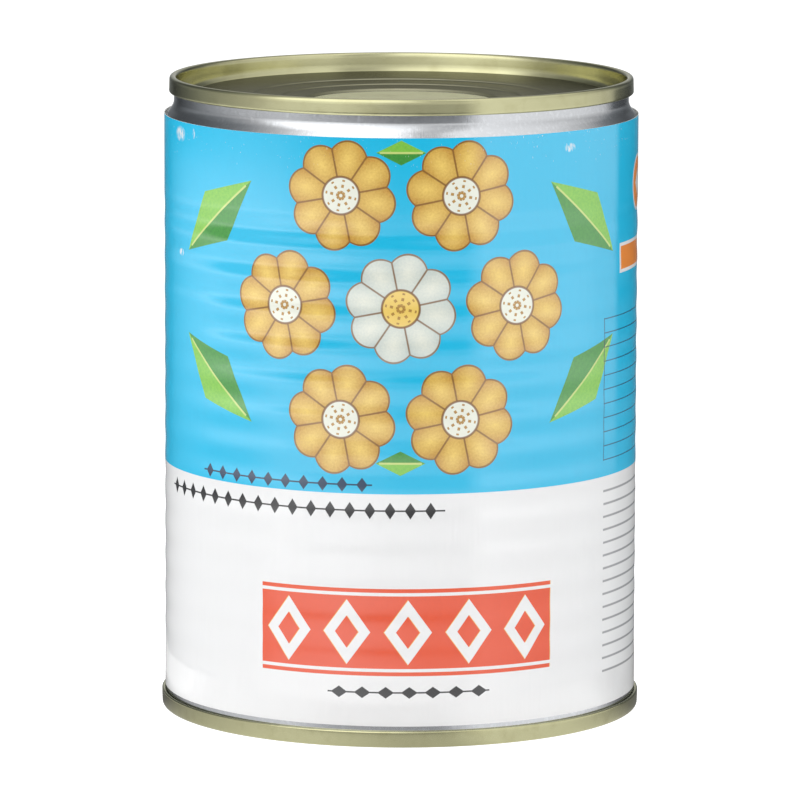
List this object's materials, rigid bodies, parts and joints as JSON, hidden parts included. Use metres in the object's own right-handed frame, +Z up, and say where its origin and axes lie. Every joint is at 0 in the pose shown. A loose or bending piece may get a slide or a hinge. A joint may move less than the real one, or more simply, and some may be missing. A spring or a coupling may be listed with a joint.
{
  "type": "food can",
  "caption": "Round steel food can with necked-in top, stepped gold-lacquered ends and a wrapped printed paper label, packed with peeled fruit in syrup.",
  "frame": {"origin": "centre of the circle that the can stands on", "axes": "+Z up along the can's axis, towards the smaller, necked-in end; -Y towards the middle of the label's front; +Y towards the label's glued lap"},
  "size_m": [0.0874, 0.0874, 0.1156],
  "materials": {
    "tinplate": "satin",
    "gold_lacquer": "satin",
    "seam_compound": "matte",
    "label_paper": "gloss",
    "label_paste": "matte",
    "syrup": "gloss",
    "fruit_flesh": "satin"
  },
  "bodies": {
    "root": {"can_body": "tinplate", "top_end": "gold_lacquer", "bottom_end": "gold_lacquer", "top_seam_compound": "seam_compound", "bottom_seam_compound": "seam_compound", "paper_label": "label_paper", "label_glue": "label_paste", "syrup": "syrup", "longan_01": "fruit_flesh", "longan_02": "fruit_flesh", "longan_03": "fruit_flesh", "longan_04": "fruit_flesh", "longan_05": "fruit_flesh", "longan_06": "fruit_flesh", "longan_07": "fruit_flesh", "longan_08": "fruit_flesh", "longan_09": "fruit_flesh", "longan_10": "fruit_flesh", "longan_11": "fruit_flesh", "longan_12": "fruit_flesh", "longan_13": "fruit_flesh", "longan_14": "fruit_flesh", "longan_15": "fruit_flesh", "longan_16": "fruit_flesh", "longan_17": "fruit_flesh", "longan_18": "fruit_flesh", "longan_19": "fruit_flesh", "longan_20": "fruit_flesh", "longan_21": "fruit_flesh", "longan_22": "fruit_flesh", "longan_23": "fruit_flesh", "longan_24": "fruit_flesh"}
  },
  "joints": []
}
